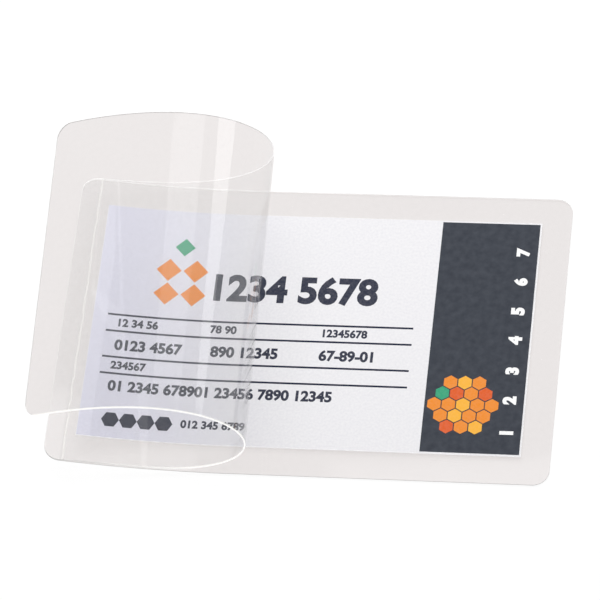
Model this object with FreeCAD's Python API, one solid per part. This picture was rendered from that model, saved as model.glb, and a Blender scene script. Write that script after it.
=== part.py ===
"""Laminating pouch of key card size, curled open, with its paper card in place.

Two clear films of one size are heat sealed along their left short edge. The
bottom film lies on the table and is bowed up a little at the seal. The card lies
on its middle. The top film lies on the card next to the seal, lifts off, curls up and
comes back over itself. It lifts off sooner along its far edge than along its near
one, so the curl is a cone rather than a tube, and its far side stands higher.
X runs along the pouch from the seal, Y across it and Z up. The origin is the
middle of the bottom film's underside.
"""

import FreeCAD, Part
import math
import os

os.makedirs("parts", exist_ok=True)

# Card, in millimetres
card_length = 86.8
card_width = 51.8
card_thickness = 0.28

# Films
film_thickness = 0.25
end_margin = 5.8
side_margin = 5.85
corner_radius = 3.2
seal_width = 3.8
air_gap = 0.03

# Bow of the bottom film: how far from the sealed end it leaves the table, and how round it is
bow_length = 36.0
bow_radius = 185.0

# Curl of the top film. Along each long edge it leaves the card at liftoff, is roundest at bend,
# both from the sealed end, and is half as round at a distance of spread from the bend.
curl_degrees = 211.5
near_liftoff = 18.2
near_bend = 48.6
near_spread = 19.4
far_liftoff = 6.0
far_bend = 50.1
far_spread = 17.9

# Fineness of the curl: strips that it is made of, and small turns in each strip
strip_count = 24
turns_per_strip = 30

pouch_length = card_length + 2 * end_margin
pouch_width = card_width + 2 * side_margin
half_width = pouch_width / 2
bow_end_x = bow_length - pouch_length / 2
card_under = film_thickness + air_gap
card_over = card_under + card_thickness
cover_under = card_over + air_gap


def bow_angle(distance):
    """Downward slope of the bottom film, in radians, a distance along it from the seal."""
    on_arc = max(distance, seal_width)
    return max(bow_length - on_arc, 0.0) / bow_radius


def along(angle):
    """Unit vector in the XZ plane that climbs at an angle, in radians."""
    return FreeCAD.Vector(math.cos(angle), 0, math.sin(angle))


def across(angle):
    """Unit vector square to along(angle), a quarter turn further up."""
    return FreeCAD.Vector(-math.sin(angle), 0, math.cos(angle))


def above_bottom(distance, height, y=0.0):
    """Point at a height over the bottom film's underside, a distance along it from the seal."""
    angle = bow_angle(distance)
    centre = FreeCAD.Vector(bow_end_x, y, bow_radius)
    straight = min(distance - seal_width, 0.0) + max(distance - bow_length, 0.0)
    return centre + across(-angle) * (height - bow_radius) + along(-angle) * straight


def sheet_edges(start, end, height, y):
    """Lines and arc that follow the bottom film at one height, from start to end."""
    breaks = [place for place in (seal_width, bow_length) if start < place < end]
    stations = [start] + breaks + [end]
    edges = []
    for first, last in zip(stations, stations[1:]):
        middle = (first + last) / 2
        points = [above_bottom(place, height, y) for place in (first, middle, last)]
        if seal_width < middle < bow_length:
            edges.append(Part.Arc(*points).toShape())
        else:
            edges.append(Part.LineSegment(points[0], points[2]).toShape())
    return edges


def laid_sheet(start, end, under, over, y, width):
    """Sheet that follows the bottom film's bow, between two heights over its underside."""
    edges = sheet_edges(start, end, under, y) + sheet_edges(start, end, over, y)
    for place in (start, end):
        corners = above_bottom(place, under, y), above_bottom(place, over, y)
        edges.append(Part.LineSegment(*corners).toShape())
    profile = Part.Face(Part.Wire(Part.__sortEdges__(edges)))
    return profile.extrude(FreeCAD.Vector(0, width, 0))


def to_middle(y):
    """Unit vector across the pouch, from the side where y lies towards the middle."""
    return FreeCAD.Vector(0, -math.copysign(1, y), 0)


def round_corner(film, sharp, inward, sideways):
    """Film with one corner cut round, as by its die: sharp is the corner's own point, inward
    points along the film away from its short edge, and sideways away from its long edge."""
    normal = inward.cross(sideways)
    centre = sharp + (inward + sideways) * corner_radius
    reach = 2 * corner_radius
    square = Part.makePolygon([centre,
                               centre - inward * reach,
                               centre - (inward + sideways) * reach,
                               centre - sideways * reach,
                               centre])
    waste = Part.Face(square).extrude(normal * 2 * reach)
    waste.translate(normal * -reach)
    disc = Part.makeCylinder(corner_radius, 4 * reach, centre - normal * 2 * reach, normal)
    return film.cut(waste.cut(disc)).Solids[0]


def distance_turned(edge, share):
    """Distance from the sealed end where a long edge has made a share of the curl's turn."""
    _, liftoff, bend, spread = edge
    first = math.atan((liftoff - bend) / spread)
    last = math.atan((pouch_length - bend) / spread)
    return bend + spread * math.tan(first + share * (last - first))


def lying_placement():
    """Placement of the flat film where the top film lies on the card, before it curls.

    The flat film has its sealed end at x = 0, its middle at y = 0 and its underside at z = 0."""
    start = above_bottom(end_margin, cover_under)
    lying = above_bottom(near_liftoff, cover_under) - start
    slope = math.degrees(math.atan2(lying.z, lying.x))
    tilt = FreeCAD.Rotation(FreeCAD.Vector(0, 1, 0), -slope)
    return FreeCAD.Placement(start - tilt.multVec(FreeCAD.Vector(end_margin, 0, 0)), tilt)


def curl_placements(near, far):
    """Placements of the flat film after 0, 1, 2 and more of the small turns of its curl.

    Each turn is about a straight line from a point of the near edge to the point of the far
    edge that has turned as much, so that the film bends without stretching."""
    turn_count = strip_count * turns_per_strip
    place = lying_placement()
    placements = [place]
    for turn in range(turn_count):
        share = (turn + 0.5) / turn_count
        near_end, far_end = [
            place.multVec(FreeCAD.Vector(distance_turned(edge, share), edge[0], 0))
            for edge in (near, far)
        ]
        fold = FreeCAD.Rotation(far_end - near_end, -curl_degrees / turn_count)
        place = FreeCAD.Placement(FreeCAD.Vector(), fold, near_end) * place
        placements.append(place)
    return placements


def long_edge_lines(placements, edge, height):
    """The top film's lines along one long edge at one height in it: sealed, climbing on to the
    card, lying on it, and curled with one line for each strip."""
    y, liftoff, _, _ = edge
    sealed = [above_bottom(place, film_thickness + height, y) for place in (0, seal_width)]
    lying = [placements[0].multVec(FreeCAD.Vector(place, y, height))
             for place in (end_margin, liftoff)]
    handle = (end_margin - seal_width) / 3
    climb = Part.BezierCurve()
    climb.setPoles([sealed[1],
                    sealed[1] + (sealed[1] - sealed[0]).normalize() * handle,
                    lying[0] - (lying[1] - lying[0]).normalize() * handle,
                    lying[0]])
    points = []
    for strip in range(strip_count + 1):
        distance = distance_turned(edge, strip / strip_count)
        place = placements[strip * turns_per_strip]
        points.append(place.multVec(FreeCAD.Vector(distance, y, height)))
    curl = Part.BSplineCurve()
    curl.interpolate(Points=points, Parameters=[float(strip) for strip in range(len(points))])
    lines = [Part.LineSegment(*sealed), climb, Part.LineSegment(lying[0], points[0])]
    strips = [curl.toShape(strip, strip + 1) for strip in range(strip_count)]
    return [line.toShape() for line in lines] + strips


def line_between(first, second, end):
    """Straight edge between two edges, at their first vertex or, with end -1, at their last."""
    return Part.LineSegment(first.Vertexes[end].Point, second.Vertexes[end].Point).toShape()


def make_top_film():
    near = -half_width, near_liftoff, near_bend, near_spread
    far = half_width, far_liftoff, far_bend, far_spread
    placements = curl_placements(near, far)
    near_under, near_over, far_under, far_over = [
        long_edge_lines(placements, edge, height)
        for edge in (near, far) for height in (0, film_thickness)
    ]
    pairs = []
    for rims in ((near_under, far_under), (near_over, far_over),
                 (near_under, near_over), (far_under, far_over)):
        pairs.extend(zip(*rims))
    for end in (0, -1):
        pairs.append([line_between(first[end], second[end], end)
                      for first, second in ((near_under, far_under), (near_over, far_over))])
    skin = Part.makeShell([Part.makeRuledSurface(*pair) for pair in pairs])
    skin.sewShape()
    film = Part.makeSolid(skin)
    free_end = placements[-1]
    for y in (-half_width, half_width):
        free_corner = free_end.multVec(FreeCAD.Vector(pouch_length, y, 0))
        film = round_corner(film, free_corner, free_end.Rotation.multVec(along(0) * -1),
                            free_end.Rotation.multVec(to_middle(y)))
        sealed_corner = above_bottom(0, film_thickness, y)
        film = round_corner(film, sealed_corner, along(-bow_angle(0)), to_middle(y))
    return film


def make_bottom_film():
    film = laid_sheet(0, pouch_length, 0, film_thickness, -half_width, pouch_width)
    for y in (-half_width, half_width):
        film = round_corner(film, above_bottom(pouch_length, 0, y), along(0) * -1, to_middle(y))
        film = round_corner(film, above_bottom(0, 0, y), along(-bow_angle(0)), to_middle(y))
    return film


def make_card():
    end = end_margin + card_length
    return laid_sheet(end_margin, end, card_under, card_over, -card_width / 2, card_width)


def main():
    nodes = {
        "bottom_film": make_bottom_film(),
        "top_film": make_top_film(),
        "card_insert": make_card(),
    }
    for name, shape in nodes.items():
        shape.exportStep("parts/" + name + ".step")
        box = shape.BoundBox
        middle = shape.CenterOfMass
        print(f"{name}: solids {len(shape.Solids)}, valid {shape.isValid()}, "
              f"volume {shape.Volume:.1f} mm3, centre X {middle.x:.1f} Z {middle.z:.1f}, "
              f"X {box.XMin:.2f} to {box.XMax:.2f}, Y {box.YMin:.2f} to {box.YMax:.2f}, "
              f"Z {box.ZMin:.2f} to {box.ZMax:.2f}")


main()
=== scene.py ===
# %% [markdown]
# # A laminating pouch for a key card
#
# Two clear films are sealed along one short edge. The bottom one lies on the table, the
# paper card lies on it, and the top one is curled up and back, so that the card is open.
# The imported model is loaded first, because every piece below takes the place of one of
# its nodes and has to stand exactly where that node stands.

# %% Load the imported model
import math

import bpy
from mathutils import Matrix, Vector


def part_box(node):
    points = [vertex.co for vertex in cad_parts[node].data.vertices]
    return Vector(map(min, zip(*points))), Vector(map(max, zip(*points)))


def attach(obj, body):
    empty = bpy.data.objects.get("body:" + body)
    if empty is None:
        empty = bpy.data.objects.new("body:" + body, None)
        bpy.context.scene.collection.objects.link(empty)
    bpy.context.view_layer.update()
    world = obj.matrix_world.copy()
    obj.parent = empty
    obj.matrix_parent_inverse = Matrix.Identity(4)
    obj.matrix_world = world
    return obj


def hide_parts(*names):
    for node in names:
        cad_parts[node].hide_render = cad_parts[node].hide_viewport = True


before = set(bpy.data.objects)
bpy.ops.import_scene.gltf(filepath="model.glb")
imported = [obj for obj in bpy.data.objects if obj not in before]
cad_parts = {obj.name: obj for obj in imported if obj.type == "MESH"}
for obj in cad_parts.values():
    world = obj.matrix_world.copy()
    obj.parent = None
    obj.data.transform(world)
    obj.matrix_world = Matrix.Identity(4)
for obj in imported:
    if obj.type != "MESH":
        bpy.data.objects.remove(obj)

bpy.ops.object.select_all(action="DESELECT")
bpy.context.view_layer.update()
for name in sorted(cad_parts):
    low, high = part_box(name)
    print(name, "size in mm", [round(1000 * size, 2) for size in high - low])

# %% [markdown]
# ## Sizes
#
# These are the sizes that the films and the card are cut to, and how the curl lies. They
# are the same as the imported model's, in metres. The long sides of the curl differ: the
# near side leaves the card later than the far one.

# %% Sizes of the films, the card and the curl
mm = 0.001
card_length = 86.8 * mm
card_width = 51.8 * mm
card_thickness = 0.28 * mm
film_thickness = 0.25 * mm
end_margin = 5.8 * mm
side_margin = 5.85 * mm
corner_radius = 3.2 * mm
seal_width = 3.8 * mm
air_gap = 0.03 * mm
bow_length = 36.0 * mm
bow_radius = 185.0 * mm

pouch_length = card_length + 2 * end_margin
pouch_width = card_width + 2 * side_margin
half_width = pouch_width / 2
bow_end_x = bow_length - pouch_length / 2
card_under = film_thickness + air_gap
cover_under = card_under + card_thickness + air_gap

curl_turn = math.radians(211.5)
near_edge = {"y": -half_width, "liftoff": 18.2 * mm, "bend": 48.6 * mm, "spread": 19.4 * mm}
far_edge = {"y": half_width, "liftoff": 6.0 * mm, "bend": 50.1 * mm, "spread": 17.9 * mm}
print("pouch", round(pouch_length / mm, 2), "by", round(pouch_width / mm, 2), "mm")

# %% [markdown]
# ## How a sheet lies
#
# A real film is cut flat and bent afterwards, and bending doesn't stretch it. So every
# sheet here is modelled flat, and then each of its points is moved to where the bent
# sheet has it. The bottom film and the card follow a shallow bow at the sealed end.

# %% Where a point of a flat sheet lies on the bow
def on_bow(distance, y, height):
    """Point at a height over the bottom film's underside, a distance along it from the seal."""
    angle = max(bow_length - max(distance, seal_width), 0.0) / bow_radius
    along = Vector((math.cos(angle), 0, -math.sin(angle)))
    upward = Vector((math.sin(angle), 0, math.cos(angle)))
    straight = min(distance - seal_width, 0.0) + max(distance - bow_length, 0.0)
    centre = Vector((bow_end_x, y, bow_radius))
    return centre + upward * (height - bow_radius) + along * straight


print("sealed end stands up by", round(on_bow(0, 0, 0).z / mm, 2), "mm")

# %% [markdown]
# The top film's curl is a cone rather than a tube. It is made of many small turns, each
# about a straight line from a point on the near edge to the point on the far edge that
# has turned as much. A list of placements holds the flat film after each turn. Blender's
# Simple Deform modifier can bend a sheet too, but evenly and about one axis, which gives a tube.

# %% Placements of the flat film through its curl
turn_count = 720


def distance_turned(edge, share):
    """Distance from the sealed end where a long edge has made a share of the curl's turn."""
    first = math.atan((edge["liftoff"] - edge["bend"]) / edge["spread"])
    last = math.atan((pouch_length - edge["bend"]) / edge["spread"])
    return edge["bend"] + edge["spread"] * math.tan(first + share * (last - first))


def fold_line(share):
    """Ends, on the flat film, of the line about which the curl turns at a share of its turn."""
    return [Vector((distance_turned(edge, share), edge["y"], 0)) for edge in (near_edge, far_edge)]


def curl_placements():
    start = on_bow(end_margin, 0, cover_under)
    lying = on_bow(near_edge["liftoff"], 0, cover_under) - start
    tilt = Matrix.Rotation(math.atan2(-lying.z, lying.x), 4, "Y")
    place = Matrix.Translation(start) @ tilt @ Matrix.Translation((-end_margin, 0, 0))
    placements = [place]
    for turn in range(turn_count):
        near_end, far_end = [place @ end for end in fold_line((turn + 0.5) / turn_count)]
        fold = Matrix.Rotation(-curl_turn / turn_count, 4, far_end - near_end)
        place = Matrix.Translation(near_end) @ fold @ Matrix.Translation(-near_end) @ place
        placements.append(place)
    return placements


placements = curl_placements()
print("free corner, near side, in mm:",
      [round(c / mm, 2) for c in placements[-1] @ Vector((pouch_length, -half_width, 0))])

# %% [markdown]
# A point of the top film may be sealed, climbing on to the card, lying on it or curled.
# On the curl, the share of the turn is the one whose fold line runs through the point. It
# is found by halving, because the distance only grows with the share.

# %% Where a point of the flat top film lies
def share_at(distance, y):
    """Share of the curl's turn whose fold line runs through a point of the flat film."""
    across = (y + half_width) / pouch_width
    low, high = 0.0, 1.0
    for _ in range(30):
        middle = (low + high) / 2
        near_end, far_end = fold_line(middle)
        if near_end.x + (far_end.x - near_end.x) * across < distance:
            low = middle
        else:
            high = middle
    return (low + high) / 2


def on_curl(distance, y, height):
    """Where a point of the flat top film, at a height over its underside, lies when curled."""
    if distance < end_margin:
        climb = max(distance - seal_width, 0.0) / (end_margin - seal_width)
        rise = climb * climb * (3 - 2 * climb) * (cover_under - film_thickness)
        return on_bow(distance, y, film_thickness + rise + height)
    turned = share_at(distance, y) * turn_count
    before = min(int(turned), turn_count - 1)
    point = Vector((distance, y, height))
    return (placements[before] @ point).lerp(placements[before + 1] @ point, turned - before)


print("top of the curl, far side, in mm:",
      round(max(on_curl(s * mm, half_width, 0).z for s in range(40, 98)) / mm, 2))

# %% [markdown]
# ## Cutting a sheet
#
# A sheet starts as a plane at its cut size. Its corners are rounded by bevelling the four
# corner points, as the die does. It is then pulled up to its thickness, and its rim is
# eased a little, because a cut edge is never perfectly sharp. After that it is cut across at
# every fold line, so that it has edges to bend at, and each point goes to its bent place. A
# Solidify modifier could give the thickness, but pulled up here, the rim is there before the
# bend, and its faces can take the cut edge's material. The UV map keeps each point's place on
# the flat sheet, in metres from its sealed end and from its middle line.

# %% A helper that cuts and bends a sheet
def cut_sheet(name, length, width, thickness, radius, folds, ease, bend):
    """Sheet cut flat, from x = 0 and centred on y = 0, with folds given as pairs of points."""
    bpy.ops.object.select_all(action="DESELECT")
    bpy.ops.mesh.primitive_plane_add(size=1)
    sheet = bpy.context.object
    sheet.name = sheet.data.name = name
    bpy.ops.object.mode_set(mode="EDIT")
    bpy.ops.mesh.select_all(action="SELECT")
    bpy.ops.transform.resize(value=(length, width, 1))
    bpy.ops.transform.translate(value=(length / 2, 0, 0))
    if radius:
        bpy.ops.mesh.bevel(offset=radius, segments=14, affect="VERTICES")
    bpy.ops.mesh.select_all(action="SELECT")
    bpy.ops.mesh.extrude_region_move(TRANSFORM_OT_translate={"value": (0, 0, thickness)})
    bpy.ops.mesh.select_all(action="SELECT")
    bpy.ops.mesh.normals_make_consistent(inside=False)
    bpy.ops.mesh.select_all(action="DESELECT")
    bpy.ops.mesh.edges_select_sharp(sharpness=math.radians(60))
    bpy.ops.mesh.bevel(offset=ease, segments=2, affect="EDGES")
    for first, second in folds:
        bpy.ops.mesh.select_all(action="SELECT")
        across = (second - first).cross(Vector((0, 0, 1)))
        bpy.ops.mesh.bisect(plane_co=first, plane_no=across)
    bpy.ops.object.mode_set(mode="OBJECT")

    mesh = sheet.data
    for polygon in mesh.polygons:
        polygon.material_index = 0 if abs(polygon.normal.z) > 0.99 else 1
    plan = mesh.uv_layers.active
    for loop in mesh.loops:
        plan.uv[loop.index].vector = mesh.vertices[loop.vertex_index].co.xy
    for vertex in mesh.vertices:
        vertex.co = bend(*vertex.co)
    bpy.ops.object.shade_smooth_by_angle(angle=math.radians(15))
    print(name, len(mesh.polygons), "faces, size in mm",
          [round(d / mm, 2) for d in sheet.dimensions])
    return sheet


def cross_fold(distance):
    """Fold straight across a sheet, a distance from its end."""
    return Vector((distance, -half_width, 0)), Vector((distance, half_width, 0))


# %% [markdown]
# ## The bottom film
#
# It is a flat sheet of polyester with rounded corners, and only its sealed third is bowed,
# so the folds are needed there alone.

# %% Cut and lay the bottom film
bow_fold_count = 32
bow_folds = [seal_width + (bow_length - seal_width) * step / bow_fold_count
             for step in range(bow_fold_count + 1)]
bottom_film = cut_sheet(
    "clear_bottom_film", pouch_length, pouch_width, film_thickness, corner_radius,
    [cross_fold(distance) for distance in bow_folds], 0.04 * mm,
    lambda x, y, z: on_bow(x, y, z))

# %% [markdown]
# ## The top film
#
# It has the same outline. Its folds are the slanting lines of the curl, set closest where
# the curl is roundest, because they are spaced by equal turns and not by equal lengths.

# %% Cut and curl the top film
climb_fold_count = 8
curl_fold_count = 180
climb_folds = [seal_width + (end_margin - seal_width) * step / climb_fold_count
               for step in range(climb_fold_count + 1)]
top_folds = [cross_fold(distance) for distance in climb_folds]
top_folds += [fold_line(step / curl_fold_count) for step in range(curl_fold_count)]
top_film = cut_sheet(
    "clear_top_film", pouch_length, pouch_width, film_thickness, corner_radius,
    top_folds, 0.06 * mm, on_curl)

# %% [markdown]
# ## The card
#
# A card of thick paper with square corners. It follows the bow of the film that it lies on.

# %% Cut and lay the card
card_folds = [cross_fold(distance - end_margin) for distance in bow_folds if distance > end_margin]
card = cut_sheet(
    "printed_card", card_length, card_width, card_thickness, 0, card_folds, 0.02 * mm,
    lambda x, y, z: on_bow(end_margin + x, y, card_under + z))

# %% [markdown]
# ## Helpers for the materials
#
# Colours are written as the hex values that a colour picker shows, and turned to the
# linear values that Blender mixes light with. One function adds a node, sets its inputs
# and links what is handed to it.

# %% Colour and node helpers
def linear(hex_colour):
    """Linear colour, with alpha, of an sRGB hex value."""
    channels = [int(hex_colour[i:i + 2], 16) / 255 for i in (1, 3, 5)]
    return [c / 12.92 if c <= 0.04045 else ((c + 0.055) / 1.055) ** 2.4 for c in channels] + [1.0]


def add(material, kind, inputs=None, **settings):
    """Adds a node, with its settings, and sets or links the inputs."""
    node = material.node_tree.nodes.new("ShaderNode" + kind)
    for name, value in settings.items():
        setattr(node, name, value)
    for socket, value in (inputs or {}).items():
        if isinstance(value, bpy.types.NodeSocket):
            material.node_tree.links.new(value, node.inputs[socket])
        else:
            node.inputs[socket].default_value = value
    return node


def new_material(name):
    """Empty material and its output node."""
    material = bpy.data.materials.new(name)
    material.use_nodes = True
    material.node_tree.nodes.clear()
    return material, add(material, "OutputMaterial")


print("white reads as", linear("#FFFFFF"))

# %% [markdown]
# ## Clear polyester film
#
# The film is a clear polyester sheet with a layer of adhesive on its inner face. A Glass shader
# bends light at each face, but so thin a sheet hardly shifts what lies behind it. A Transparent
# shader does for it, and it also lets lamps shine through. The adhesive is a little milky, in
# a fine mottle. Where the heat roller has stopped, it stands in a thin bead, drawn bright by a painted
# glow.

# %% The film seen straight through
film_tint = "#FDFDFD"
painted_glow_colour = "#FFFEFA"
most_milk = 0.012
bead_width, bead_wander, painted_bead_glow_share = 0.34 * mm, 0.35 * mm, 0.16


def film_body(film, plan):
    """Clear sheet with a little milk in its adhesive, and a painted glow on the bead along its heat
    seal.
    """
    clear = add(film, "BsdfTransparent", {"Color": linear(film_tint)})

    # A mottle of about 1.2 mm in the adhesive, which makes the sheet look slightly milky
    mottle = add(film, "TexNoise", {"Vector": plan, "Scale": 1 / (1.2 * mm), "Detail": 3.0})
    milk = add(film, "MapRange", {"Value": mottle.outputs[0], "From Min": 0.3, "From Max": 0.7,
                                  "To Max": most_milk})
    adhesive = add(film, "BsdfDiffuse", {"Color": linear("#F4F2EE")})
    body = add(film, "MixShader", {0: milk.outputs["Result"],
                                   1: clear.outputs[0], 2: adhesive.outputs[0]})

    # The bead wanders a little, over about 2.5 mm, and a painted glow draws it as a bright thread
    wander = add(film, "TexNoise", {"Vector": plan, "Scale": 1 / (2.5 * mm), "Detail": 2.0})
    bead_line = add(film, "MapRange", {"Value": wander.outputs[0],
                                       "To Min": seal_width - bead_wander,
                                       "To Max": seal_width + bead_wander})
    distance = add(film, "SeparateXYZ", {0: plan}).outputs["X"]
    on_bead = add(film, "Math", {0: distance, 1: bead_line.outputs["Result"], 2: bead_width / 2},
                  operation="COMPARE")
    share = add(film, "Math", {0: on_bead.outputs[0], 1: painted_bead_glow_share}, operation="MULTIPLY")
    # Painted glow: the bead's brightness is emission, not light from the lamps
    bead = add(film, "Emission", {"Color": linear(painted_glow_colour), "Strength": 1.0})
    sealed = add(film, "MixShader", {0: share.outputs[0], 1: body.outputs[0], 2: bead.outputs[0]})
    return sealed.outputs[0]


print("bead on the seal", round(bead_width / mm, 2), "mm wide")

# %% [markdown]
# The film is seen mostly by what it mirrors, which is more at a glancing angle. Both faces of a
# sheet mirror, and the face that a ray meets first stands for both here, with a higher index.
# The share is limited, because a sheet seen edge-on would otherwise be drawn as a dark line
# round the curl.

# %% What the film mirrors
sheet_index = 1.6
largest_share = 0.25
film_roughness = 0.04


def film_shine(film, plan):
    """Share that a film mirrors, and the shader that it mirrors with."""
    # Slow waves of about 14 mm, from the roll that the film was wound on
    waves = add(film, "TexNoise", {"Vector": plan, "Scale": 1 / (14 * mm), "Detail": 1.0})
    wavy = add(film, "Bump", {"Height": waves.outputs[0], "Distance": 0.014 * mm, "Strength": 1.0})
    shine = add(film, "BsdfGlossy", {"Roughness": film_roughness, "Normal": wavy.outputs[0]})
    mirrored = add(film, "Fresnel", {"IOR": sheet_index, "Normal": wavy.outputs[0]})
    limited = add(film, "Math", {0: mirrored.outputs[0], 1: largest_share}, operation="MINIMUM")
    backfacing = add(film, "NewGeometry").outputs["Backfacing"]
    first_met = add(film, "Math", {0: 1.0, 1: backfacing}, operation="SUBTRACT")
    share = add(film, "Math", {0: limited.outputs[0], 1: first_met.outputs[0]}, operation="MULTIPLY")
    return share.outputs[0], shine.outputs[0]


print("a sheet mirrors at most", largest_share)

# %% [markdown]
# A painted glow runs along the flap's near edge, a painted highlight like the one on the cut edge.
# It starts past the seal, where the flap is free of the sheet below.

# %% Clear film
painted_rim_width = 0.3 * mm
painted_rim_start, painted_rim_full = 10 * mm, 30 * mm


def near_rim(material, plan, share):
    """Share on the flap's near rim, rising from none at the seal, and 0 elsewhere."""
    place = add(material, "SeparateXYZ", {0: plan}).outputs
    on_rim = add(material, "Math", {0: place["Y"], 1: -half_width, 2: painted_rim_width},
                 operation="COMPARE")
    past_seal = add(material, "MapRange", {"Value": place["X"], "From Min": painted_rim_start,
                                           "From Max": painted_rim_full, "To Max": share})
    return add(material, "Math", {0: on_rim.outputs[0], 1: past_seal.outputs["Result"]},
               operation="MULTIPLY").outputs[0]


def clear_film(name, painted_rim_share):
    """Clear polyester film, with a share of painted glow along its near rim."""
    film, output = new_material(name)
    plan = add(film, "TexCoord").outputs["UV"]
    # Painted highlight: emission along the flap's near rim
    painted_rim_glow = add(film, "Emission", {"Color": linear(painted_glow_colour), "Strength": 1.0})
    with_painted_rim_glow = add(film, "MixShader", {0: near_rim(film, plan, painted_rim_share),
                                     1: film_body(film, plan), 2: painted_rim_glow.outputs[0]})
    share, shine = film_shine(film, plan)
    surface = add(film, "MixShader", {0: share, 1: with_painted_rim_glow.outputs[0], 2: shine})
    film.node_tree.links.new(surface.outputs[0], output.inputs["Surface"])
    return film


bottom_film.data.materials.append(clear_film("clear polyester film, bottom", 0.0))
top_film.data.materials.append(clear_film("clear polyester film, top", 0.8))
print("film nodes", len(top_film.data.materials[0].node_tree.nodes))

# %% [markdown]
# The die leaves the cut edge frosted: rough polyester with a fine grain. A glow is painted on
# it as a painted highlight: on the flap's near rim, and on an edge whose back face is seen, by
# one share in the sealed half and by another in the free half.

# %% Cut edges of the films
painted_glow_change_start, painted_glow_change_end = 45 * mm, 60 * mm


def film_cut_edge(name, painted_near_glow, painted_sealed_glow, painted_free_glow):
    edge, output = new_material(name)
    coordinates = add(edge, "TexCoord").outputs
    grain = add(edge, "TexNoise", {"Vector": coordinates["Object"], "Scale": 1 / (0.3 * mm),
                                   "Detail": 2.0})
    frost = add(edge, "MapRange", {"Value": grain.outputs[0], "From Min": 0.3, "From Max": 0.7,
                                   "To Min": 0.25, "To Max": 0.5})
    distance = add(edge, "SeparateXYZ", {0: coordinates["UV"]}).outputs["X"]
    painted_inner_glow = add(edge, "MapRange", {"Value": distance, "From Min": painted_glow_change_start,
                                        "From Max": painted_glow_change_end,
                                        "To Min": painted_sealed_glow, "To Max": painted_free_glow})
    painted_glow_backfacing = add(edge, "Math", {0: add(edge, "NewGeometry").outputs["Backfacing"],
                                     1: painted_inner_glow.outputs["Result"]}, operation="MULTIPLY")
    # Painted glow: emission on the near rim and on back faces of the cut edge
    glow = add(edge, "Math", {0: near_rim(edge, coordinates["UV"], painted_near_glow),
                              1: painted_glow_backfacing.outputs[0]}, operation="MAXIMUM")
    frosted = add(edge, "BsdfPrincipled", {"Base Color": linear("#E6E4E2"),
                                           "Roughness": frost.outputs["Result"],
                                           "Emission Color": linear("#FFFFFF"),
                                           "Emission Strength": glow.outputs[0]})
    edge.node_tree.links.new(frosted.outputs[0], output.inputs["Surface"])
    return edge


bottom_film.data.materials.append(
    film_cut_edge("polyester film, cut edge on the table", 0.0, 0.5, 0.3))
top_film.data.materials.append(
    film_cut_edge("polyester film, cut edge in the air", 0.5, 0.5, 0.05))
print("film materials", [material.name for material in top_film.data.materials])

# %% [markdown]
# ## Card stock
#
# The card is uncoated white card stock with a fine tooth. Toward its left end, where the flap
# lies over it, it is painted darker and lilac, a painted shade which fades out to the right. A
# dark band runs down its right end, inside a narrow white border, and four thin rules cross it.
# All of that is laid out in millimetres from the card's left end and near edge. It could be
# modelled like the rest of the print, but a rule or a band is a plain box on the card's UV map,
# and a mask in the material draws it without any faces.

# %% Band and rules, printed flat
white_border = 0.3 * mm
band_left = 67.2 * mm
rule_left, rule_right = 2.9 * mm, 63.5 * mm
rule_thickness = 0.42 * mm
rule_heights = [27.25 * mm, 23.6 * mm, 17.8 * mm, 14.15 * mm]
dark_ink = "#23273A"


def box_mask(material, place, left, right, bottom, top):
    """1 inside a box on the card, given from its left end and near edge, and 0 outside."""
    in_x = add(material, "Math", {0: place["X"], 1: (left + right) / 2, 2: (right - left) / 2},
               operation="COMPARE")
    in_y = add(material, "Math", {0: place["Y"], 1: (bottom + top - card_width) / 2,
                                  2: (top - bottom) / 2}, operation="COMPARE")
    inside = add(material, "Math", {0: in_x.outputs[0], 1: in_y.outputs[0]}, operation="MULTIPLY")
    return inside.outputs[0]


def with_band_and_rules(stock, plan, place, colour):
    """The paper's colour with the band and the rules printed over it."""
    # The band's ink is clouded, at about 1.5 mm, because so large a dark area takes it unevenly
    cloud = add(stock, "TexNoise", {"Vector": plan, "Scale": 1 / (1.5 * mm), "Detail": 3.0})
    band_ink = add(stock, "Mix", {"Factor": cloud.outputs[0], "A": linear("#292D36"),
                                  "B": linear("#4A4E56")}, data_type="RGBA")
    band = box_mask(stock, place, band_left, card_length - white_border,
                    white_border, card_width - white_border)
    layers = [(band, band_ink.outputs["Result"])]
    for height in rule_heights:
        rule = box_mask(stock, place, rule_left, rule_right, height - rule_thickness / 2,
                        height + rule_thickness / 2)
        layers.append((rule, linear(dark_ink)))
    for mask, layer_ink in layers:
        printed = add(stock, "Mix", {"Factor": mask, "A": colour, "B": layer_ink}, data_type="RGBA")
        colour = printed.outputs["Result"]
    return colour


print("rules at", [round(height / mm, 2) for height in rule_heights], "mm")

# %% Bare and printed card stock
white_stock = "#F2F1F2"
painted_lilac_shade = "#E7E6F2"
painted_shade_fade = 42 * mm


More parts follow.
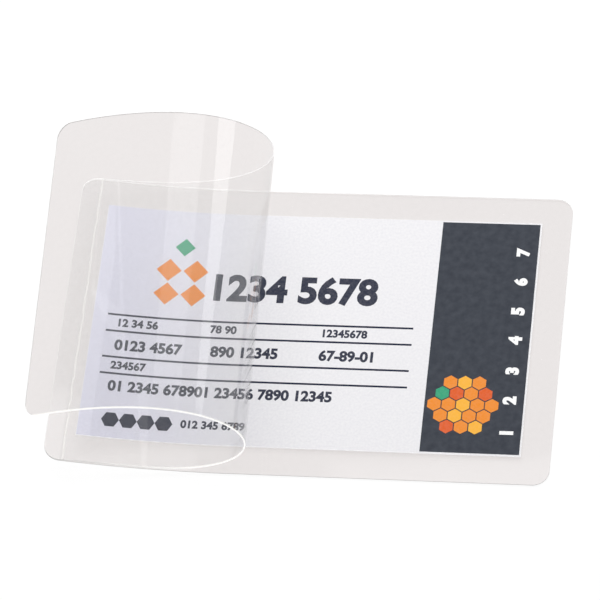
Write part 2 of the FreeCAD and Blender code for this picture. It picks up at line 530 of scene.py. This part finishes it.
def card_stock(name, is_printed):
    """Uncoated stock: its printed face, or its bare cut edge, which has a painted glow."""
    stock, output = new_material(name)
    plan = add(stock, "TexCoord").outputs["UV"]
    place = add(stock, "SeparateXYZ", {0: plan}).outputs

    # The tooth is finer on real stock, and is drawn at 0.5 mm so that it shows
    tooth = add(stock, "TexNoise", {"Vector": plan, "Scale": 1 / (0.5 * mm), "Detail": 4.0})
    # Painted shade: darker and lilac toward the left end, under the flap, fading out to the right
    painted_shade_mask = add(stock, "MapRange", {"Value": place["X"], "From Max": painted_shade_fade},
               interpolation_type="SMOOTHSTEP")
    stock_with_painted_shade = add(stock, "Mix", {"Factor": painted_shade_mask.outputs["Result"],
                                "A": linear(painted_lilac_shade if is_printed else white_stock),
                                "B": linear(white_stock)}, data_type="RGBA")
    shade = add(stock, "Mix", {"Factor": tooth.outputs[0], "A": linear("#E9E9ED"),
                               "B": linear("#FFFFFF")}, data_type="RGBA")
    paper = add(stock, "Mix", {"Factor": 1.0, "A": stock_with_painted_shade.outputs["Result"],
                               "B": shade.outputs["Result"]}, data_type="RGBA", blend_type="MULTIPLY")
    colour = paper.outputs["Result"]
    if is_printed:
        colour = with_band_and_rules(stock, plan, place, colour)
    bump = add(stock, "Bump", {"Height": tooth.outputs[0], "Distance": 0.01 * mm, "Strength": 0.6})
    # The bare cut edge has a painted glow of 0.4, which keeps it from reading dark
    surface = add(stock, "BsdfPrincipled", {"Base Color": colour, "Roughness": 0.75,
                                            "Specular IOR Level": 0.3, "Normal": bump.outputs[0],
                                            "Emission Color": linear("#FFFFFF"),
                                            "Emission Strength": 0.0 if is_printed else 0.4})
    stock.node_tree.links.new(surface.outputs[0], output.inputs["Surface"])
    return stock


card.data.materials.append(card_stock("uncoated card stock, printed face", True))
card.data.materials.append(card_stock("uncoated card stock, cut edge", False))
print("card materials", [material.name for material in card.data.materials])

# %% [markdown]
# ## Print on the card
#
# The rest of the print is a little raised, as toner is. Each number or shape is made flat,
# where it stands on the card, and is then laid on the card's bow like everything else. An
# image on the card would do too, but modelled print stays sharp however near one looks.

# %% Inks
def ink(name, hex_colour):
    """Toner of one colour, a little uneven, because the paper's tooth shows through."""
    toner, output = new_material(name)
    place = add(toner, "TexCoord").outputs["Object"]
    grain = add(toner, "TexNoise", {"Vector": place, "Scale": 1 / (0.4 * mm), "Detail": 3.0})
    thin = add(toner, "MapRange", {"Value": grain.outputs[0], "From Min": 0.35, "From Max": 0.75,
                                   "To Min": 0.0, "To Max": 0.05})
    colour = add(toner, "Mix", {"Factor": thin.outputs["Result"], "A": linear(hex_colour),
                                "B": linear("#EFEEEF")}, data_type="RGBA")
    surface = add(toner, "BsdfPrincipled", {"Base Color": colour.outputs["Result"],
                                            "Roughness": 0.5, "Specular IOR Level": 0.3})
    toner.node_tree.links.new(surface.outputs[0], output.inputs["Surface"])
    return toner


inks = {name: ink(name + " toner", hex_colour) for name, hex_colour in (
    ("dark", dark_ink), ("white", "#F6F6F6"), ("orange", "#E98A2B"), ("amber", "#F3B13A"),
    ("red", "#D95B22"), ("green", "#2F9C74"))}
print("inks", sorted(inks))

# %% [markdown]
# The numbers are text objects, turned to meshes and pulled up to the toner's thickness. Each
# shape is modelled once, from a flat cylinder with few sides whose edges are eased, and then
# copied. The toner's underside stands a hair above the card, so that the two never share a face.

# %% Helpers for numbers and shapes
toner_low, toner_high, toner_ease = 0.002 * mm, 0.014 * mm, 0.003 * mm


def lay_on_card(pieces, name):
    """Joins flat pieces, in x from the card's left end and y from its near edge, and bends them."""
    bpy.ops.object.select_all(action="DESELECT")
    for piece in pieces:
        piece.select_set(True)
    bpy.context.view_layer.objects.active = pieces[0]
    bpy.ops.object.join()
    print_mesh = bpy.context.object
    print_mesh.name = print_mesh.data.name = name
    for vertex in print_mesh.data.vertices:
        x, y, z = vertex.co
        vertex.co = on_bow(end_margin + x, y - card_width / 2, card_under + card_thickness + z)
    print(name, len(print_mesh.data.polygons), "faces")
    return print_mesh


def numbers(digits, left, base, height, bold, ink_name, angle=0.0):
    """Digits of a height whose first one starts at a place; a bolder one is swollen outward."""
    bpy.ops.object.text_add()
    words = bpy.context.object
    words.data.body = digits
    words.data.resolution_u = 4
    words.data.offset = bold
    bpy.ops.object.convert(target="MESH")
    words.data.materials.append(inks[ink_name])
    low = min(vertex.co.y for vertex in words.data.vertices)
    high = max(vertex.co.y for vertex in words.data.vertices)
    start = min(vertex.co.x for vertex in words.data.vertices)
    size = height / (high - low)
    words.data.transform(Matrix.Translation((left, base, 0)) @ Matrix.Rotation(angle, 4, "Z")
                         @ Matrix.Diagonal((size, size, 1, 1)) @ Matrix.Translation((-start, -low, 0)))
    bpy.ops.object.mode_set(mode="EDIT")
    bpy.ops.mesh.select_all(action="SELECT")
    bpy.ops.transform.translate(value=(0, 0, toner_low))
    bpy.ops.mesh.extrude_region_move(TRANSFORM_OT_translate={"value": (0, 0, toner_high - toner_low)})
    bpy.ops.mesh.select_all(action="SELECT")
    bpy.ops.mesh.normals_make_consistent(inside=False)
    bpy.ops.mesh.faces_shade_flat()
    bpy.ops.object.mode_set(mode="OBJECT")
    return words


def flat_shape(sides, radius):
    """Shape with equal sides and eased edges, as thick as toner, at the card's corner."""
    bpy.ops.mesh.primitive_cylinder_add(vertices=sides, radius=radius, depth=toner_high - toner_low,
                                        location=(0, 0, (toner_low + toner_high) / 2))
    bpy.ops.object.transform_apply(location=True)
    bpy.ops.object.mode_set(mode="EDIT")
    bpy.ops.mesh.select_all(action="SELECT")
    bpy.ops.mesh.bevel(offset=toner_ease, affect="EDGES")
    bpy.ops.object.mode_set(mode="OBJECT")
    return bpy.context.object


def copy_to(shape, x, y, ink_name, angle=0.0):
    """Copy of a shape, with its own mesh, at a place on the card."""
    copied = bpy.data.objects.new(shape.name, shape.data.copy())
    bpy.context.scene.collection.objects.link(copied)
    copied.data.transform(Matrix.Translation((x, y, 0)) @ Matrix.Rotation(angle, 4, "Z"))
    copied.data.materials.append(inks[ink_name])
    return copied


print("toner", round((toner_high - toner_low) / mm, 3), "mm thick")

# %% [markdown]
# The numbers stand in rows between and below the rules, in three sizes, and a column of white
# ones is turned to run up the band.

# %% Numbers
large, medium, small = 6.4 * mm, 2.5 * mm, 1.85 * mm
bold, boldest = 0.04, 0.07
rows = [
    numbers("1234 5678", 23.2 * mm, 31.8 * mm, large, bold, "dark"),
    numbers("12 34 56", 5.2 * mm, 24.6 * mm, small, bold, "dark"),
    numbers("78 90", 23.4 * mm, 24.6 * mm, small, bold, "dark"),
    numbers("12345678", 45.8 * mm, 24.6 * mm, small, bold, "dark"),
    numbers("0123 4567", 5.0 * mm, 19.3 * mm, medium, bold, "dark"),
    numbers("890 12345", 24.0 * mm, 19.3 * mm, medium, bold, "dark"),
    numbers("67-89-01", 45.5 * mm, 19.3 * mm, medium, bold, "dark"),
    numbers("234567", 4.8 * mm, 15.1 * mm, small, bold, "dark"),
    numbers("01 2345 678901 23456 7890 12345", 4.8 * mm, 10.2 * mm, medium, bold, "dark"),
    numbers("012 345 6789", 20.0 * mm, 3.3 * mm, small, bold, "dark"),
]
column_x, column_start, column_step, column_size = 85.0 * mm, 4.6 * mm, 6.6 * mm, 2.7 * mm
for step, digit in enumerate("1234567"):
    rows.append(numbers(digit, column_x, column_start + column_step * step, column_size, boldest,
                        "white", math.radians(90)))
card_numbers = lay_on_card(rows, "card_numbers")

# %% [markdown]
# The shapes are a comb of nineteen hexagons on the band, in two rings about a middle one, a
# flower of four diamonds with a bud over it, and a row of four dark cells.

# %% Shapes
comb_spacing = 2.81 * mm
comb_x, comb_y = 74.7 * mm, 10.8 * mm
comb_inks = ["amber", "orange", "orange", "red", "orange", "amber", "orange"]
comb_cell = flat_shape(6, 1.5 * mm)
shapes = []
for ring in range(3):
    for step in range(max(6 * ring, 1)):
        side, along_side = divmod(step, max(ring, 1))
        corners = [Vector((math.cos(turn), math.sin(turn))) * ring * comb_spacing
                   for turn in (math.radians(60 * side), math.radians(60 * side + 60))]
        spot = corners[0].lerp(corners[1], along_side / max(ring, 1))
        colour = "green" if (ring, step) == (2, 5) else comb_inks[(step + ring) % 7]
        shapes.append(copy_to(comb_cell, comb_x + spot.x, comb_y + spot.y, colour))

flower_x, flower_y, flower_radius = 16.4 * mm, 35.6 * mm, 3.8 * mm
bud_height = 8.0 * mm
petal = flat_shape(4, 2.5 * mm)
for quarter in range(4):
    turn = math.radians(45 + 90 * quarter)
    shapes.append(copy_to(petal, flower_x + flower_radius * math.cos(turn),
                          flower_y + flower_radius * math.sin(turn), "orange"))
bud = flat_shape(4, 2.0 * mm)
shapes.append(copy_to(bud, flower_x, flower_y + bud_height, "green"))

dot_start, dot_step, dot_y = 6.2 * mm, 3.5 * mm, 4.0 * mm
dot = flat_shape(6, 1.75 * mm)
for step in range(4):
    shapes.append(copy_to(dot, dot_start + dot_step * step, dot_y, "dark", math.radians(30)))

for shape in (comb_cell, petal, bud, dot):
    bpy.data.objects.remove(shape)
card_shapes = lay_on_card(shapes, "card_shapes")

# %% [markdown]
# ## What stands for what
#
# Each new piece rides on the part's one body and hides the node that it replaces.

# %% Tie the pieces to the model
for piece, node, slot in ((bottom_film, "bottom_film", "film"), (top_film, "top_film", "film"),
                          (card, "card_insert", "card"), (card_numbers, None, "card"),
                          (card_shapes, None, "card")):
    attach(piece, "root")
    if node:
        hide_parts(node)
    print(piece.name, "stands for", node or "print on the card")

# %% [markdown]
# ## Table and light
#
# The table is plain white. To the camera, most of it is light of its own, which keeps it even,
# and the rest is lit, so that it holds a soft shadow. Where the bare table is seen it is bright
# enough to be plain white. Through the film it is drawn in a light warm grey, and so is the
# world: a painted shade that stands in for the film's tint. Clear film is hard to see on pure
# white, and that painted tone is what shows where the sheet is. To other light the table is as
# white as paper is, so that the undersides get their share. One soft lamp stands at the far
# side, and the world fills in. Two panels are there for the film alone to mirror.

# %% Table
painted_shade_through_film = "#DAD5D4"


def white_table():
    """Matt white paper, which the camera sees as white, or through the film in a painted shade of
    grey.
    """
    table, output = new_material("white paper sweep")
    rays = add(table, "LightPath").outputs
    mirrored = add(table, "Math", {0: rays["Is Camera Ray"], 1: rays["Is Glossy Ray"]},
                   operation="MAXIMUM")
    seen = add(table, "Math", {0: mirrored.outputs[0], 1: rays["Is Transmission Ray"]},
               operation="MAXIMUM")
    # Painted shade: where a ray has passed the film, the table's own light is a warm grey
    through_film = add(table, "Math", {0: rays["Transparent Depth"], 1: 0.5},
                       operation="GREATER_THAN")
    own = add(table, "Mix", {"Factor": through_film.outputs[0], "A": (0.86, 0.86, 0.86, 1),
                             "B": linear(painted_shade_through_film)}, data_type="RGBA")
    light = add(table, "Emission", {"Color": own.outputs["Result"], "Strength": seen.outputs[0]})
    bounce = add(table, "Mix", {"Factor": rays["Is Diffuse Ray"], "A": (0.16, 0.16, 0.16, 1),
                                "B": (0.85, 0.85, 0.85, 1)}, data_type="RGBA")
    white = add(table, "BsdfDiffuse", {"Color": bounce.outputs["Result"]})
    both = add(table, "AddShader", {0: light.outputs[0], 1: white.outputs[0]})
    table.node_tree.links.new(both.outputs[0], output.inputs["Surface"])
    return table


bpy.ops.mesh.primitive_plane_add(size=6, location=(0, 0, -0.1 * mm))
table = bpy.context.object
table.name = "table"
table.data.materials.append(white_table())
print("table laid at", round(table.location.z / mm, 2), "mm")

# %% World
world = bpy.data.worlds.new("studio")
bpy.context.scene.world = world
world.use_nodes = True
world.node_tree.nodes.clear()
rays = add(world, "LightPath").outputs
seen = add(world, "Math", {0: rays["Is Camera Ray"], 1: rays["Is Transmission Ray"]},
           operation="MAXIMUM")
fill = add(world, "Mix", {"Factor": rays["Is Glossy Ray"], "A": 0.55, "B": 0.92}, data_type="FLOAT")
strength = add(world, "Mix", {"Factor": seen.outputs[0], "A": fill.outputs["Result"], "B": 1.0},
               data_type="FLOAT")
# Painted shade: seen by the camera through the film, the world is a warm grey
through_film = add(world, "Math", {0: rays["Transparent Depth"], 1: 0.5}, operation="GREATER_THAN")
toned = add(world, "Math", {0: through_film.outputs[0], 1: rays["Is Camera Ray"]},
            operation="MULTIPLY")
tone = add(world, "Mix", {"Factor": toned.outputs[0], "A": linear("#FFFFFF"),
                          "B": linear("#EDE9E8")}, data_type="RGBA")
sky = add(world, "Background", {"Color": tone.outputs["Result"],
                                "Strength": strength.outputs["Result"]})
add(world, "OutputWorld", {"Surface": sky.outputs[0]})
print("world nodes", len(world.node_tree.nodes))

# %% Key lamp
key_place = Vector((-0.05, 0.47, 0.47))
key_data = bpy.data.lights.new("key", "AREA")
key_data.size = 0.45
key_data.energy = 3.95
key = bpy.data.objects.new("key", key_data)
bpy.context.scene.collection.objects.link(key)
key.location = key_place
key.rotation_euler = key_place.to_track_quat("Z", "Y").to_euler()
key.visible_camera = False
key.visible_glossy = False
print("key lamp at", [round(c, 2) for c in key_place])

# %% [markdown]
# The panels stand about 1 m from the pouch, on its far side, where the curled film mirrors them
# towards the camera. Each shows in the film as bands of shine. Only gloss sees them, so they
# don't light the card.

# %% Panels to mirror
plane_corner_order = (0, 1, 3, 2)


def mirrored_panel(name, corners, strength):
    """White panel that only gloss sees, with its corners given in turn."""
    bpy.ops.mesh.primitive_plane_add(size=1)
    panel = bpy.context.object
    panel.name = name
    for index, corner in zip(plane_corner_order, corners):
        panel.data.vertices[index].co = corner
    white, output = new_material(name)
    light = add(white, "Emission", {"Color": linear("#FFFFFF"), "Strength": strength})
    white.node_tree.links.new(light.outputs[0], output.inputs["Surface"])
    panel.data.materials.append(white)
    for ray in ("camera", "diffuse", "transmission", "volume_scatter", "shadow"):
        setattr(panel, "visible_" + ray, False)
    return panel


bright_panel = mirrored_panel("bright_panel", ((0.46, 0.47, 0.79), (0.70, 0.48, 0.54),
                                               (0.72, 0.36, 0.60), (0.61, 0.36, 0.72)), 3.0)
wide_panel = mirrored_panel("wide_panel", ((-0.15, 0.45, 0.93), (0.25, 0.45, 0.87),
                                           (0.38, 0.35, 0.89), (-0.01, 0.34, 0.96)), 1.9)
print("panels", bright_panel.name, "and", wide_panel.name)

# %% [markdown]
# ## Camera
#
# The photograph looks down at about 60 degrees from the near right, with a long lens and the
# camera rolled a little.

# %% Camera
view_azimuth = math.radians(18.06)
view_elevation = math.radians(59.85)
view_roll = math.radians(-13.83)
view_distance = 935.8 * mm
picture_width = 600
pixels_per_metre = 5108.2
origin_pixel = (311.26, 332.65)
sensor_width = 36.0

backward = Vector((math.sin(view_azimuth) * math.cos(view_elevation),
                   -math.cos(view_azimuth) * math.cos(view_elevation),
                   math.sin(view_elevation)))
level = Vector((math.cos(view_azimuth), math.sin(view_azimuth), 0))
upright = backward.cross(level)
rightward = level * math.cos(view_roll) + upright * math.sin(view_roll)
upward = upright * math.cos(view_roll) - level * math.sin(view_roll)
eye = backward * view_distance
aim = (rightward * (picture_width / 2 - origin_pixel[0])
       + upward * (origin_pixel[1] - picture_width / 2)) / pixels_per_metre
backward = (eye - aim).normalized()
rightward = (rightward - backward * rightward.dot(backward)).normalized()
upward = backward.cross(rightward)

camera_data = bpy.data.cameras.new("camera")
camera_data.sensor_width = sensor_width
camera_data.lens = sensor_width * pixels_per_metre * view_distance / picture_width
camera = bpy.data.objects.new("camera", camera_data)
bpy.context.scene.collection.objects.link(camera)
turned = Matrix((rightward, upward, backward)).transposed().to_4x4()
camera.matrix_world = Matrix.Translation(eye) @ turned
bpy.context.scene.camera = camera
bpy.context.scene.view_settings.view_transform = "Standard"
print("lens", round(camera_data.lens, 1), "mm")

# %% [markdown]
# ## Clear sheets and ray limits
#
# A ray crosses two faces in each clear sheet, on its way in and again on its way to a lamp.
# Three sheets lie over each other here, and more where the curl is seen from the side.

# %% Let rays through all the sheets
bpy.context.scene.cycles.transparent_max_bounces = 40
print("a ray may cross", bpy.context.scene.cycles.transparent_max_bounces, "clear faces")
